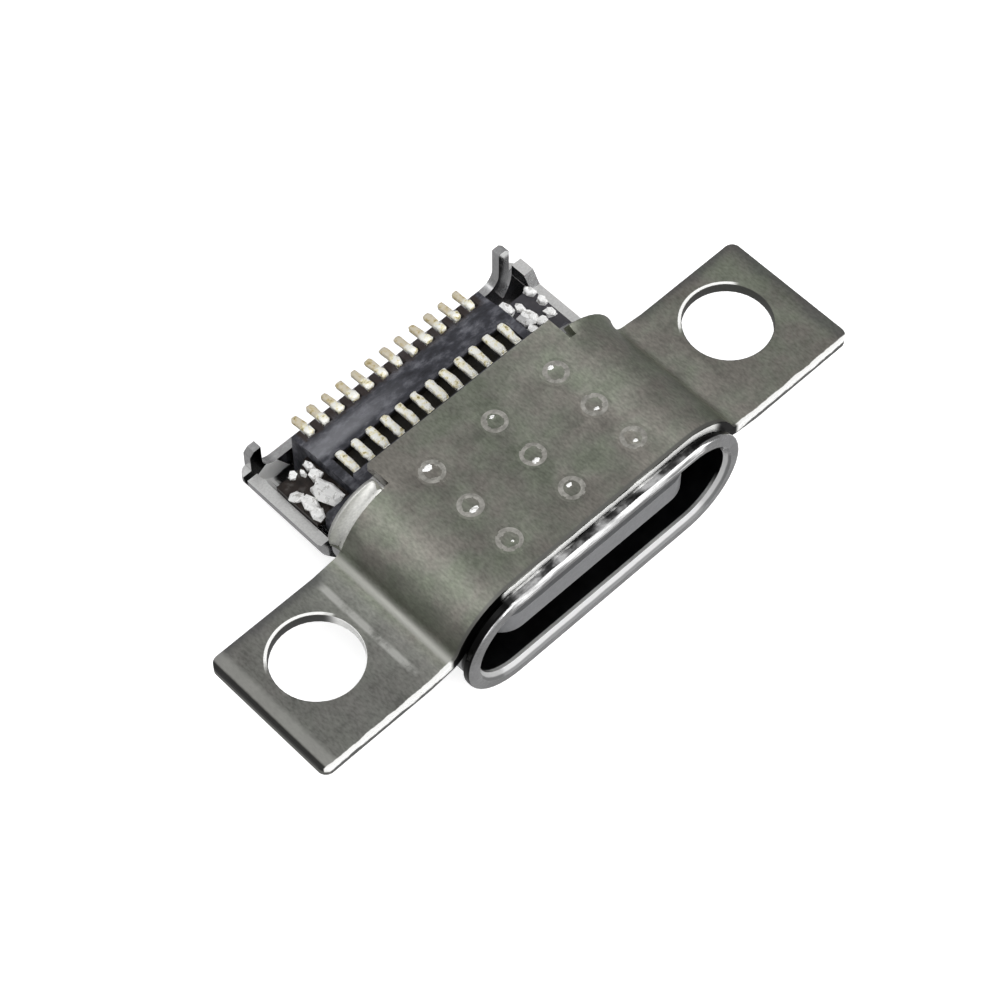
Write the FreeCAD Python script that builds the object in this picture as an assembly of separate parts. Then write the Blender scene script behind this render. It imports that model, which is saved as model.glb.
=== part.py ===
"""A 24-contact reversible board socket with a screw-down bracket.

Frame: the origin is the centre of the plug opening, in the plane of the shell's front lip.
+Y runs from the opening to the rear, +X along the bracket's ears, +Z towards the solder side.
"""
import FreeCAD, Part
import math
import os

from FreeCAD import Vector

# Plug opening and drawn shell
MOUTH_WIDTH = 8.34
MOUTH_HEIGHT = 2.56
SHELL_WALL = 0.32
LIP_WALL = 0.45
LIP_LENGTH = 0.24
LIP_ROUND = 0.12
LEAD_IN_WIDTH = 0.13
LEAD_IN_DEPTH = 0.16

# Open trough behind the barrel
TROUGH_LENGTH = 3.27
TROUGH_SPREAD = 0.20
TROUGH_BLEND = 0.3
TROUGH_TOP = -0.08
SHELL_LENGTH = 8.27
REAR_WALL = 0.25
REAR_WALL_TOP = -0.42
CORNER_ROUND = 0.3

# Relief notch between the barrel and each side wall
NOTCH_LENGTH = 0.22
NOTCH_DEPTH = 0.75

# Relief between each side wall and the rear wall
CORNER_GAP = 0.15
CORNER_DEPTH = 0.75

# Raised ear at the rear end of the +X side wall
EAR_RISE = 0.405
EAR_LENGTH = 0.46
EAR_RAMP = 0.25

# Board legs at the rear corners
LEFT_LEG_TOP = 0.62
RIGHT_LEG_TOP = 0.87
LEG_WIDTH = 0.36
LEG_INSET = 0.27
LEG_ROUND = 0.14
LEG_SWEEP = 0.45

# Stamped mounting bracket
BRACKET_SHEET = 0.30
BRACKET_FRONT = 0.36
EAR_DEPTH = 4.08
EAR_HEIGHT = 0.43
EAR_CORNER = 0.25
FOLD_RADIUS = 0.35
JOGGLE_RUN = 0.8
JOGGLE_ANGLE = 8.0
PLATE_WIDTH = 6.1
PLATE_TAIL = 0.76
SCREW_HOLE = 2.35
SCREW_SPACING = 14.0
SCREW_FROM_FRONT = 2.385
SCREW_TO_TIP = 1.92

# Flared rear edge of the bracket's shoulders
FLARE_RADIUS = 0.8
FLARE_ANGLE = 28.0
FLARE_LENGTH = 0.1
FLARE_LOW = 20.0
FLARE_HIGH = 79.0

# Spot welds that join the bracket to the shell
WELD_DIAMETER = 0.8
WELD_DEPTH = 0.06
WELD_PITCH_X = 2.08
WELD_PITCH_Y = 1.328
WELD_FIRST = 0.94

# Moulded housing and its tongue
TONGUE_WIDTH = 6.69
TONGUE_THICKNESS = 0.70
TONGUE_SETBACK = 0.34
TONGUE_CORNER = 0.8
ROOT_WIDTH = 7.2
ROOT_THICKNESS = 1.24
ROOT_LENGTH = 1.0
FLANGE_INSET = 0.3
FLANGE_LENGTH = 0.45
BLOCK_WIDTH = 6.4
BLOCK_TOP = 0.42
REAR_GAP = 0.14
SHOULDER_WIDTH = 8.3
SHOULDER_LENGTH = 0.44
RIDGE_WIDTH = 0.5
RIDGE_DROP = 0.12
LATCH_NOTCH_DEPTH = 0.3
LATCH_NOTCH_LENGTH = 1.1
LATCH_NOTCH_START = 1.6

# Contacts
CONTACT_COUNT = 12
CONTACT_PITCH = 0.5
CONTACT_WIDTH = 0.2
CONTACT_SHEET = 0.12
CONTACT_SETBACK = 0.5
NEAR_FOOT_TOP = 0.51
NEAR_FOOT_INSET = 1.24
NEAR_TRENCH_LENGTH = 0.76
NEAR_TRENCH_FLOOR = 0.12
BRIDGE_TOP = 0.6
FAR_FOOT_TOP = 0.29
FAR_FOOT_OVERHANG = 0.03
FAR_FOOT_DROP = 0.06
FAR_RISE_INSET = 0.38
FAR_SLOT_WIDTH = 0.32
FAR_SLOT_LENGTH = 0.32
FAR_SLOT_DEPTH = 0.45

# Latch plate in the middle of the tongue
MIDPLATE_SHEET = 0.15
MIDPLATE_SETBACK = 0.7
MIDPLATE_INSET = 0.58
LUG_INSET = 2.22
LUG_LENGTH = 1.5

# Solder lumps on the lugs: x, distance behind the lug's front edge, and radius of each
LEFT_LUMPS = [
    (-3.52, 1.36, 0.15),
    (-3.54, 1.12, 0.27),
    (-3.54, 0.76, 0.31),
    (-3.62, 0.42, 0.25),
    (-3.74, 0.20, 0.16),
    (-4.20, 0.89, 0.13),
    (-4.20, 0.62, 0.16),
    (-4.22, 0.30, 0.18),
    (-4.24, 0.08, 0.13),
]
RIGHT_LUMPS = [
    (4.20, 1.36, 0.15),
    (4.24, 0.96, 0.13),
    (4.20, 0.80, 0.15),
    (4.10, 0.60, 0.17),
    (3.42, 1.40, 0.14),
    (3.64, 1.26, 0.19),
    (3.60, 0.96, 0.24),
    (3.54, 0.68, 0.19),
    (3.78, 0.58, 0.15),
]

# Grounding plates on the tongue's root
GROUND_SHEET = 0.1
GROUND_WIDTH = 6.4
GROUND_LENGTH = 1.35

# Clearance between pieces that are pushed together
FIT = 0.01

# Values that follow from the sizes above
INNER_R = MOUTH_HEIGHT / 2
OUTER_R = INNER_R + SHELL_WALL
SIDE_CENTRE = MOUTH_WIDTH / 2 - INNER_R
REAR_CENTRE = SIDE_CENTRE + TROUGH_SPREAD
BARREL_LENGTH = SHELL_LENGTH - TROUGH_LENGTH
BRACKET_REAR = BRACKET_FRONT + EAR_DEPTH
PLATE_REAR = BRACKET_REAR + PLATE_TAIL
BRACKET_INNER_R = OUTER_R + FIT
BRACKET_OUTER_R = BRACKET_INNER_R + BRACKET_SHEET
FLANGE_FRONT = BARREL_LENGTH - FLANGE_INSET
FLANGE_REAR = FLANGE_FRONT + FLANGE_LENGTH
HOUSING_BOTTOM = -INNER_R + FIT
REAR_INNER = REAR_CENTRE + INNER_R
BRACKET_LENGTH = SCREW_SPACING + 2 * SCREW_TO_TIP
JOGGLE_REACH = SIDE_CENTRE + BRACKET_OUTER_R + JOGGLE_RUN
BLOCK_REAR = SHELL_LENGTH - REAR_WALL - REAR_GAP
NEAR_FOOT_END = BLOCK_REAR - NEAR_FOOT_INSET
NEAR_TRENCH_FRONT = NEAR_FOOT_END - NEAR_TRENCH_LENGTH
FAR_FOOT_END = SHELL_LENGTH + FAR_FOOT_OVERHANG
FAR_RISE = BLOCK_REAR - FAR_RISE_INSET
MIDPLATE_REAR = BLOCK_REAR - MIDPLATE_INSET
LUG_FRONT = BLOCK_REAR - LUG_INSET


def contact_x(index):
    """Return the X position of one contact, counted from the -X end."""
    return (index - (CONTACT_COUNT - 1) / 2) * CONTACT_PITCH


def box(x0, x1, y0, y1, z0, z1):
    """Return a box between two corners."""
    return Part.makeBox(x1 - x0, y1 - y0, z1 - z0, Vector(x0, y0, z0))


def line(a, b):
    """Return a straight edge."""
    return Part.LineSegment(a, b).toShape()


def arc_xz(cx, cz, radius, start, end, y):
    """Return an arc edge in the XZ plane at depth y, with angles in degrees from +X to +Z."""
    points = []
    for angle in (start, (start + end) / 2, end):
        turn = math.radians(angle)
        points.append(Vector(cx + radius * math.cos(turn), y, cz + radius * math.sin(turn)))
    return Part.Arc(*points).toShape()


def extrude_y(edges, length):
    """Close a loop of edges in an XZ plane and extrude it along +Y."""
    face = Part.Face(Part.Wire(Part.__sortEdges__(edges)))
    return face.extrude(Vector(0, length, 0))


def extrude_x(points, x0, x1):
    """Extrude a closed outline of (y, z) points along X."""
    corners = [Vector(x0, y, z) for y, z in points]
    corners.append(corners[0])
    return Part.Face(Part.makePolygon(corners)).extrude(Vector(x1 - x0, 0, 0))


def stadium_edges(centre, radius, y):
    """Return the outline with flat top and bottom and round ends at depth y."""
    return [
        line(Vector(-centre, y, radius), Vector(centre, y, radius)),
        arc_xz(centre, 0, radius, 90, -90, y),
        line(Vector(centre, y, -radius), Vector(-centre, y, -radius)),
        arc_xz(-centre, 0, radius, 270, 90, y),
    ]


def stadium(centre, radius, y0, y1):
    """Return a solid with flat top and bottom and round ends, from y0 to y1."""
    return extrude_y(stadium_edges(centre, radius, y0), y1 - y0)


def trough_wire(centre, y):
    """Return the closed section of the shell's lower half at depth y."""
    outer_turn = math.degrees(math.asin(TROUGH_TOP / OUTER_R))
    inner_turn = math.degrees(math.asin(TROUGH_TOP / INNER_R))
    outer_x = centre + OUTER_R * math.cos(math.radians(outer_turn))
    inner_x = centre + INNER_R * math.cos(math.radians(inner_turn))
    edges = [
        arc_xz(-centre, 0, OUTER_R, 180 - outer_turn, 270, y),
        line(Vector(-centre, y, -OUTER_R), Vector(centre, y, -OUTER_R)),
        arc_xz(centre, 0, OUTER_R, -90, outer_turn, y),
        line(Vector(outer_x, y, TROUGH_TOP), Vector(inner_x, y, TROUGH_TOP)),
        arc_xz(centre, 0, INNER_R, inner_turn, -90, y),
        line(Vector(centre, y, -INNER_R), Vector(-centre, y, -INNER_R)),
        arc_xz(-centre, 0, INNER_R, 270, 180 - inner_turn, y),
        line(Vector(-inner_x, y, TROUGH_TOP), Vector(-outer_x, y, TROUGH_TOP)),
    ]
    return Part.Wire(edges)


def mirrored(shape):
    """Return the shape's mirror image across the YZ plane."""
    return shape.mirror(Vector(0, 0, 0), Vector(1, 0, 0))


def shell_ear():
    """Return the raised ear on top of the +X side wall."""
    rear = SHELL_LENGTH - REAR_WALL - CORNER_GAP
    front = rear - EAR_LENGTH
    outline = [
        (front - EAR_RAMP, TROUGH_TOP - SHELL_WALL),
        (front - EAR_RAMP, TROUGH_TOP),
        (front, TROUGH_TOP + EAR_RISE),
        (rear, TROUGH_TOP + EAR_RISE),
        (rear, TROUGH_TOP - SHELL_WALL),
    ]
    return extrude_x(outline, REAR_INNER, REAR_INNER + SHELL_WALL)


def rear_wall():
    """Return the upturned rear wall with a leg rising at its +X and -X corners."""
    y = SHELL_LENGTH - REAR_WALL
    relief_z = TROUGH_TOP - CORNER_DEPTH
    outer_turn = math.degrees(math.asin(relief_z / OUTER_R))
    side_x = REAR_CENTRE + OUTER_R * math.cos(math.radians(outer_turn))
    leg_outer = REAR_CENTRE + OUTER_R - LEG_INSET
    leg_inner = leg_outer - LEG_WIDTH
    sweep_start = leg_inner - LEG_SWEEP
    sweep_end = REAR_WALL_TOP + LEG_SWEEP
    edges = [
        line(Vector(-sweep_start, y, REAR_WALL_TOP), Vector(sweep_start, y, REAR_WALL_TOP)),
        line(Vector(REAR_CENTRE, y, -OUTER_R), Vector(-REAR_CENTRE, y, -OUTER_R)),
    ]
    for side in (1, -1):
        corner = -90 if side > 0 else 270
        leg_top = RIGHT_LEG_TOP if side > 0 else LEFT_LEG_TOP
        wall_turn = outer_turn if side > 0 else 180 - outer_turn
        edges.append(arc_xz(side * REAR_CENTRE, 0, OUTER_R, corner, wall_turn, y))
        if side > 0:
            sweep = arc_xz(sweep_start, sweep_end, LEG_SWEEP, -90, 0, y)
        else:
            sweep = arc_xz(-sweep_start, sweep_end, LEG_SWEEP, 270, 180, y)
        edges.append(sweep)
        path = [
            (leg_inner, sweep_end),
            (leg_inner, leg_top),
            (leg_outer - LEG_ROUND, leg_top),
            (leg_outer, leg_top - LEG_ROUND),
            (leg_outer, relief_z),
            (side_x, relief_z),
        ]
        for start, end in zip(path, path[1:]):
            edges.append(line(Vector(side * start[0], y, start[1]), Vector(side * end[0], y, end[1])))
    return extrude_y(edges, REAR_WALL)


def make_shell():
    """Return the drawn shell: round-ended barrel, open trough, side walls, rear wall and legs."""
    barrel = stadium(SIDE_CENTRE, OUTER_R, LIP_LENGTH, BARREL_LENGTH)
    barrel = barrel.cut(stadium(SIDE_CENTRE, INNER_R, LIP_LENGTH, BARREL_LENGTH))
    lip = stadium(SIDE_CENTRE, INNER_R + LIP_WALL, 0, LIP_LENGTH)
    lip = lip.makeFillet(LIP_ROUND, [edge for edge in lip.Edges if edge.BoundBox.YMax < 1e-6])
    lead_in = Part.makeLoft([
        Part.Wire(stadium_edges(SIDE_CENTRE, INNER_R + LEAD_IN_WIDTH, 0)),
        Part.Wire(stadium_edges(SIDE_CENTRE, INNER_R, LEAD_IN_DEPTH)),
    ], True, True)
    lip = lip.cut([stadium(SIDE_CENTRE, INNER_R, 0, LIP_LENGTH), lead_in])
    blend_end = BARREL_LENGTH + TROUGH_BLEND
    blend = Part.makeLoft(
        [trough_wire(SIDE_CENTRE, BARREL_LENGTH), trough_wire(REAR_CENTRE, blend_end)], True, True)
    section = Part.Face(trough_wire(REAR_CENTRE, blend_end))
    trough = section.extrude(Vector(0, SHELL_LENGTH - blend_end, 0))
    reach = REAR_CENTRE + OUTER_R
    rounded = box(-reach, reach, blend_end, SHELL_LENGTH, -OUTER_R,
                  max(LEFT_LEG_TOP, RIGHT_LEG_TOP))
    rear_edges = [edge for edge in rounded.Edges
                  if edge.BoundBox.YMin > SHELL_LENGTH - 1e-4 and edge.BoundBox.ZMin < 0]
    rounded = rounded.makeFillet(CORNER_ROUND, rear_edges)
    trough = trough.fuse([rear_wall(), shell_ear()]).common(rounded)
    wall_front = SHELL_LENGTH - REAR_WALL
    corner = box(REAR_CENTRE, REAR_CENTRE + 2 * OUTER_R, wall_front - CORNER_GAP, wall_front,
                 TROUGH_TOP - CORNER_DEPTH, OUTER_R)
    trough = trough.cut([corner, mirrored(corner)])
    shell = barrel.fuse([lip, blend, trough])
    relief = box(REAR_CENTRE, REAR_CENTRE + 2 * OUTER_R, BARREL_LENGTH, BARREL_LENGTH + NOTCH_LENGTH,
                 TROUGH_TOP - NOTCH_DEPTH, OUTER_R)
    return shell.cut([relief, mirrored(relief)]).removeSplitter()


def fold_centre():
    """Return the XZ centre of the round fold between the +X shoulder and its ear."""
    slope = math.radians(JOGGLE_ANGLE)
    start = Vector(JOGGLE_REACH, 0, EAR_HEIGHT + FOLD_RADIUS / math.cos(slope))
    step = Vector(-math.cos(slope), 0, math.sin(slope))
    offset = start - Vector(SIDE_CENTRE, 0, 0)
    reach = BRACKET_OUTER_R + FOLD_RADIUS
    half = offset.dot(step)
    along = -half - math.sqrt(half ** 2 - offset.dot(offset) + reach ** 2)
    return start + step * along


def bracket_half():
    """Return the +X half of the bent sheet, full depth, before its cut-outs."""
    y = BRACKET_FRONT
    centre = fold_centre()
    turn = math.degrees(math.atan2(centre.z, centre.x - SIDE_CENTRE))
    slope_turn = 270 - JOGGLE_ANGLE
    slope = math.radians(JOGGLE_ANGLE)
    tip = BRACKET_LENGTH / 2
    low_bend = JOGGLE_REACH - BRACKET_SHEET * math.tan(slope / 2)
    edges = [
        line(Vector(0, y, BRACKET_OUTER_R), Vector(SIDE_CENTRE, y, BRACKET_OUTER_R)),
        arc_xz(SIDE_CENTRE, 0, BRACKET_OUTER_R, 90, turn, y),
        arc_xz(centre.x, centre.z, FOLD_RADIUS, 180 + turn, slope_turn, y),
        line(Vector(0, y, BRACKET_INNER_R), Vector(SIDE_CENTRE, y, BRACKET_INNER_R)),
        arc_xz(SIDE_CENTRE, 0, BRACKET_INNER_R, 90, turn, y),
        arc_xz(centre.x, centre.z, FOLD_RADIUS + BRACKET_SHEET, 180 + turn, slope_turn, y),
    ]
    down = Vector(math.cos(math.radians(slope_turn)), 0, math.sin(math.radians(slope_turn)))
    top_start = Vector(centre.x, y, centre.z) + down * FOLD_RADIUS
    low_start = Vector(centre.x, y, centre.z) + down * (FOLD_RADIUS + BRACKET_SHEET)
    ear_low = EAR_HEIGHT - BRACKET_SHEET
    edges += [
        line(top_start, Vector(JOGGLE_REACH, y, EAR_HEIGHT)),
        line(Vector(JOGGLE_REACH, y, EAR_HEIGHT), Vector(tip, y, EAR_HEIGHT)),
        line(Vector(tip, y, EAR_HEIGHT), Vector(tip, y, ear_low)),
        line(Vector(tip, y, ear_low), Vector(low_bend, y, ear_low)),
        line(Vector(low_bend, y, ear_low), low_start),
        line(Vector(0, y, BRACKET_INNER_R), Vector(0, y, BRACKET_OUTER_R)),
    ]
    return extrude_y(edges, EAR_DEPTH)


def flare_ring(points):
    """Revolve (radius, y) points about the +X shoulder's axis, between the flare's two angles."""
    corners = [Vector(SIDE_CENTRE + radius, y, 0) for radius, y in points]
    corners.append(corners[0])
    face = Part.Face(Part.makePolygon(corners))
    axis = Vector(0, -1, 0)
    centre = Vector(SIDE_CENTRE, 0, 0)
    face.rotate(centre, axis, FLARE_LOW)
    return face.revolve(centre, axis, FLARE_HIGH - FLARE_LOW)


def shoulder_flare():
    """Return the curled lip at the rear of the +X shoulder."""
    start = BRACKET_REAR - FLARE_LENGTH
    steps = 6
    outer = []
    inner = []
    for step in range(steps + 1):
        turn = math.radians(FLARE_ANGLE * step / steps)
        rise = 1 - math.cos(turn)
        outer.append((BRACKET_OUTER_R + FLARE_RADIUS * rise, start + FLARE_RADIUS * math.sin(turn)))
        wide = FLARE_RADIUS + BRACKET_SHEET
        inner.append((BRACKET_INNER_R + wide * rise, start + wide * math.sin(turn)))
    return flare_ring(outer + inner[::-1])


def weld_dimple(x, y):
    """Return the cutter for one spot weld: a shallow ring around a low middle."""
    radius = WELD_DIAMETER / 2
    top = BRACKET_OUTER_R
    points = [
        Vector(0, 0, WELD_DEPTH),
        Vector(radius, 0, WELD_DEPTH),
        Vector(radius, 0, 0),
        Vector(radius * 0.7, 0, -WELD_DEPTH),
        Vector(radius * 0.25, 0, -WELD_DEPTH / 2),
        Vector(0, 0, -WELD_DEPTH / 4),
        Vector(0, 0, WELD_DEPTH),
    ]
    face = Part.Face(Part.makePolygon(points))
    dimple = face.revolve(Vector(0, 0, 0), Vector(0, 0, 1), 360)
    dimple.translate(Vector(x, y, top))
    return dimple


def make_bracket():
    """Return the bracket: a bent sheet over the shell with a screw ear on each side."""
    half = bracket_half()
    cut_start = BRACKET_REAR - FLARE_LENGTH
    groove = flare_ring([
        (BRACKET_INNER_R - FIT, cut_start),
        (BRACKET_OUTER_R + FIT, cut_start),
        (BRACKET_OUTER_R + FIT, BRACKET_REAR + FLARE_LENGTH),
        (BRACKET_INNER_R - FIT, BRACKET_REAR + FLARE_LENGTH),
    ])
    half = half.cut(groove).fuse(shoulder_flare())
    hole = Part.makeCylinder(SCREW_HOLE / 2, 4 * BRACKET_SHEET, Vector(
        SCREW_SPACING / 2, BRACKET_FRONT + SCREW_FROM_FRONT, EAR_HEIGHT - 2 * BRACKET_SHEET))
    half = half.cut(hole)
    tip = BRACKET_LENGTH / 2
    corners = [edge for edge in half.Edges
               if edge.BoundBox.XMin > tip - 1e-4 and edge.BoundBox.YLength < 1e-4]
    half = half.makeFillet(EAR_CORNER, corners)
    tail = box(-PLATE_WIDTH / 2, PLATE_WIDTH / 2, BRACKET_REAR, PLATE_REAR,
               BRACKET_INNER_R, BRACKET_OUTER_R)
    bracket = half.fuse([mirrored(half), tail])
    welds = []
    for row in range(3):
        for column in (-1, 0, 1):
            y = BRACKET_FRONT + WELD_FIRST + row * WELD_PITCH_Y
            welds.append(weld_dimple(column * WELD_PITCH_X, y))
    return bracket.cut(welds).removeSplitter()


def strip(path, thickness):
    """Return the closed (y, z) outline of a sheet that runs below a path of (y, z) points."""
    count = len(path)
    low = []
    for index in range(count):
        before = path[max(index - 1, 0)]
        after = path[min(index + 1, count - 1)]
        here = path[index]
        first = (here[0] - before[0], here[1] - before[1]) if index else None
        second = (after[0] - here[0], after[1] - here[1]) if index < count - 1 else None
        first = first or second
        second = second or first
        normals = []
        for run in (first, second):
            size = math.hypot(*run)
            normals.append((run[1] / size, -run[0] / size))
        mid = (normals[0][0] + normals[1][0], normals[0][1] + normals[1][1])
        scale = 2 * thickness / (mid[0] ** 2 + mid[1] ** 2)
        low.append((here[0] + mid[0] * scale, here[1] + mid[1] * scale))
    return path + low[::-1]


def upper_contact_outline():
    """Return the outline of a contact whose foot is in the near row."""
    surface = TONGUE_THICKNESS / 2
    bend_start = FLANGE_REAR - 2 * CONTACT_SHEET
    bend_end = FLANGE_REAR + CONTACT_SHEET
    path = [
        (CONTACT_SETBACK, surface - CONTACT_SHEET / 2),
        (CONTACT_SETBACK + CONTACT_SHEET, surface),
        (bend_start, surface),
        (bend_end, NEAR_FOOT_TOP),
        (NEAR_FOOT_END, NEAR_FOOT_TOP),
    ]
    return strip(path, CONTACT_SHEET)


def lower_contact_outline():
    """Return the outline of a contact whose foot is in the far row."""
    surface = -TONGUE_THICKNESS / 2 + CONTACT_SHEET
    path = [
        (CONTACT_SETBACK, surface),
        (FAR_RISE, surface),
        (FAR_RISE + CONTACT_SHEET / 2, FAR_FOOT_TOP - CONTACT_SHEET),
        (FAR_RISE + 2 * CONTACT_SHEET, FAR_FOOT_TOP + CONTACT_SHEET / 3),
        (FAR_RISE + 3 * CONTACT_SHEET, FAR_FOOT_TOP),
        (FAR_FOOT_END, FAR_FOOT_TOP - FAR_FOOT_DROP),
    ]
    return strip(path, CONTACT_SHEET)


def make_contacts():
    """Return the contacts by name: the upper ones end in the near row, the lower in the far row."""
    contacts = {}
    for index in range(CONTACT_COUNT):
        x0 = contact_x(index) - CONTACT_WIDTH / 2
        x1 = contact_x(index) + CONTACT_WIDTH / 2
        name = f"{index + 1:02d}"
        contacts["upper_contact_" + name] = extrude_x(upper_contact_outline(), x0, x1)
        contacts["lower_contact_" + name] = extrude_x(lower_contact_outline(), x0, x1)
    return contacts


def make_midplate():
    """Return the latch plate, with a solder lug on each side."""
    half_width = TONGUE_WIDTH / 2
    low = -MIDPLATE_SHEET / 2
    high = MIDPLATE_SHEET / 2
    corner = TONGUE_CORNER
    front = TONGUE_SETBACK + MIDPLATE_SETBACK - CONTACT_SETBACK
    outline = [
        (-half_width, front + corner),
        (-half_width + corner, front),
        (half_width - corner, front),
        (half_width, front + corner),
        (half_width, MIDPLATE_REAR),
        (-half_width, MIDPLATE_REAR),
    ]
    corners = [Vector(x, y, low) for x, y in outline]
    corners.append(corners[0])
    plate = Part.Face(Part.makePolygon(corners)).extrude(Vector(0, 0, MIDPLATE_SHEET))
    reach = REAR_INNER - 2 * FIT
    lug = box(-reach, reach, LUG_FRONT, LUG_FRONT + LUG_LENGTH, low, high)
    plate = plate.fuse(lug)
    return plate.removeSplitter()


def make_ground_plate(side):
    """Return one grounding plate; side is 1 on top of the tongue's root and -1 below it."""
    face = ROOT_THICKNESS / 2 + FIT
    front = FLANGE_FRONT - GROUND_LENGTH
    half_width = GROUND_WIDTH / 2
    plate = box(-half_width, half_width, front, FLANGE_FRONT, face, face + GROUND_SHEET)
    apron = box(-half_width, half_width, front, front + GROUND_SHEET,
                TONGUE_THICKNESS / 2 + FIT, face)
    plate = plate.fuse(apron).removeSplitter()
    if side < 0:
        plate = plate.mirror(Vector(0, 0, 0), Vector(0, 0, 1))
    return plate


def make_housing(contacts, midplate):
    """Return the moulding: tongue, root, flange and rear block, with seats for the metal."""
    tongue = box(-TONGUE_WIDTH / 2, TONGUE_WIDTH / 2, TONGUE_SETBACK, FLANGE_FRONT,
                 -TONGUE_THICKNESS / 2, TONGUE_THICKNESS / 2)
    corners = [edge for edge in tongue.Edges
               if edge.BoundBox.YMax < TONGUE_SETBACK + 1e-6 and edge.BoundBox.XLength < 1e-6]
    tongue = tongue.makeFillet(TONGUE_CORNER, corners)
    root = box(-ROOT_WIDTH / 2, ROOT_WIDTH / 2, FLANGE_FRONT - ROOT_LENGTH, FLANGE_FRONT,
               -ROOT_THICKNESS / 2, ROOT_THICKNESS / 2)
    flange = stadium(SIDE_CENTRE, INNER_R - FIT, FLANGE_FRONT, FLANGE_REAR)
    block = stadium(SIDE_CENTRE, INNER_R - FIT, FLANGE_REAR, BLOCK_REAR)
    block = block.common(box(-BLOCK_WIDTH / 2, BLOCK_WIDTH / 2, FLANGE_REAR, BLOCK_REAR,
                             -INNER_R, BLOCK_TOP))
    shoulder = stadium(SIDE_CENTRE, INNER_R - FIT, FLANGE_REAR, FLANGE_REAR + SHOULDER_LENGTH)
    shoulder = shoulder.common(box(-SHOULDER_WIDTH / 2, SHOULDER_WIDTH / 2, FLANGE_REAR,
                                   FLANGE_REAR + SHOULDER_LENGTH, -INNER_R, BLOCK_TOP))
    housing = tongue.fuse([root, flange, block, shoulder]).removeSplitter()
    comb_half = contact_x(CONTACT_COUNT - 1) + CONTACT_WIDTH
    trench = box(-comb_half, comb_half, NEAR_TRENCH_FRONT, NEAR_FOOT_END + FIT,
                 NEAR_TRENCH_FLOOR, BLOCK_TOP)
    bridge = box(-comb_half, comb_half, FLANGE_REAR, NEAR_TRENCH_FRONT, 0, BRIDGE_TOP)
    housing = housing.fuse(bridge).removeSplitter()
    ridge_rear = BLOCK_REAR - FAR_SLOT_LENGTH
    bevel = extrude_x([
        (ridge_rear - RIDGE_WIDTH, BLOCK_TOP),
        (ridge_rear, BLOCK_TOP - RIDGE_DROP),
        (BLOCK_REAR, BLOCK_TOP - RIDGE_DROP),
        (BLOCK_REAR, BLOCK_TOP),
    ], -BLOCK_WIDTH / 2, BLOCK_WIDTH / 2)
    cutters = [trench, bevel, midplate]
    for index in range(CONTACT_COUNT):
        x = contact_x(index)
        cutters.append(box(x - FAR_SLOT_WIDTH / 2, x + FAR_SLOT_WIDTH / 2, ridge_rear, BLOCK_REAR,
                           BLOCK_TOP - FAR_SLOT_DEPTH, BLOCK_TOP))
    for side in (1, -1):
        edge = side * TONGUE_WIDTH / 2
        inner = edge - side * LATCH_NOTCH_DEPTH
        x0, x1 = min(edge, inner), max(edge, inner)
        y0 = TONGUE_SETBACK + LATCH_NOTCH_START
        cutters.append(box(x0, x1, y0, y0 + LATCH_NOTCH_LENGTH,
                           -TONGUE_THICKNESS / 2, TONGUE_THICKNESS / 2))
    cutters += list(contacts.values())
    return housing.cut(cutters).removeSplitter()


def solder_lump(x, setback, radius):
    """Return one crumpled lump as a squat faceted dome."""
    base = MIDPLATE_SHEET / 2
    y = LUG_FRONT + setback
    layers = []
    for height, width in ((0, 0.85), (0.45, 1.0), (0.8, 0.7), (1.0, 0.3)):
        corners = []
        for step in range(6):
            turn = math.radians(60 * step + 400 * x)
            reach = radius * width
            corners.append(Vector(x + reach * math.cos(turn), y + reach * math.sin(turn),
                                  base + radius * height))
        corners.append(corners[0])
        layers.append(Part.makePolygon(corners))
    return Part.makeLoft(layers, True, True)


def make_solder(lumps, x0, x1):
    """Return the lumps of solder on one lug, kept between the moulding and the shell's side wall."""
    base = MIDPLATE_SHEET / 2
    domes = [solder_lump(*lump) for lump in lumps]
    solder = domes[0].fuse(domes[1:])
    front = max(LUG_FRONT, FLANGE_REAR + SHOULDER_LENGTH + FIT)
    return solder.common(box(x0, x1, front, LUG_FRONT + LUG_LENGTH, base, base + 1))


def build():
    """Return every node's solid by name."""
    contacts = make_contacts()
    midplate = make_midplate()
    block = BLOCK_WIDTH / 2 + FIT
    wall = REAR_INNER - FIT
    nodes = {
        "mounting_bracket": make_bracket(),
        "shell": make_shell(),
        "housing": make_housing(contacts, midplate),
        "midplate": midplate,
        "upper_ground_plate": make_ground_plate(1),
        "lower_ground_plate": make_ground_plate(-1),
        "left_solder": make_solder(LEFT_LUMPS, -wall, -block),
        "right_solder": make_solder(RIGHT_LUMPS, block, wall),
    }
    nodes.update(contacts)
    return nodes


os.makedirs("parts", exist_ok=True)
NODES = build()
for node, solid in NODES.items():
    solid.exportStep(f"parts/{node}.step")
    print(node, solid.ShapeType, len(solid.Solids), solid.isValid(), round(solid.Volume, 4))
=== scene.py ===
"""Looks, light and camera for the 24-contact board socket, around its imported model.

Lengths are in metres unless a name ends in MM. The frame is the part's own: the plug opening's
centre is the origin, +Y runs to the rear, +X along the ears and +Z towards the solder side.
Places in a material are millimetres in that frame, and colours are linear.
"""
import math
import random

import bmesh
import bpy
from mathutils import Matrix, Vector, noise


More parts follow.
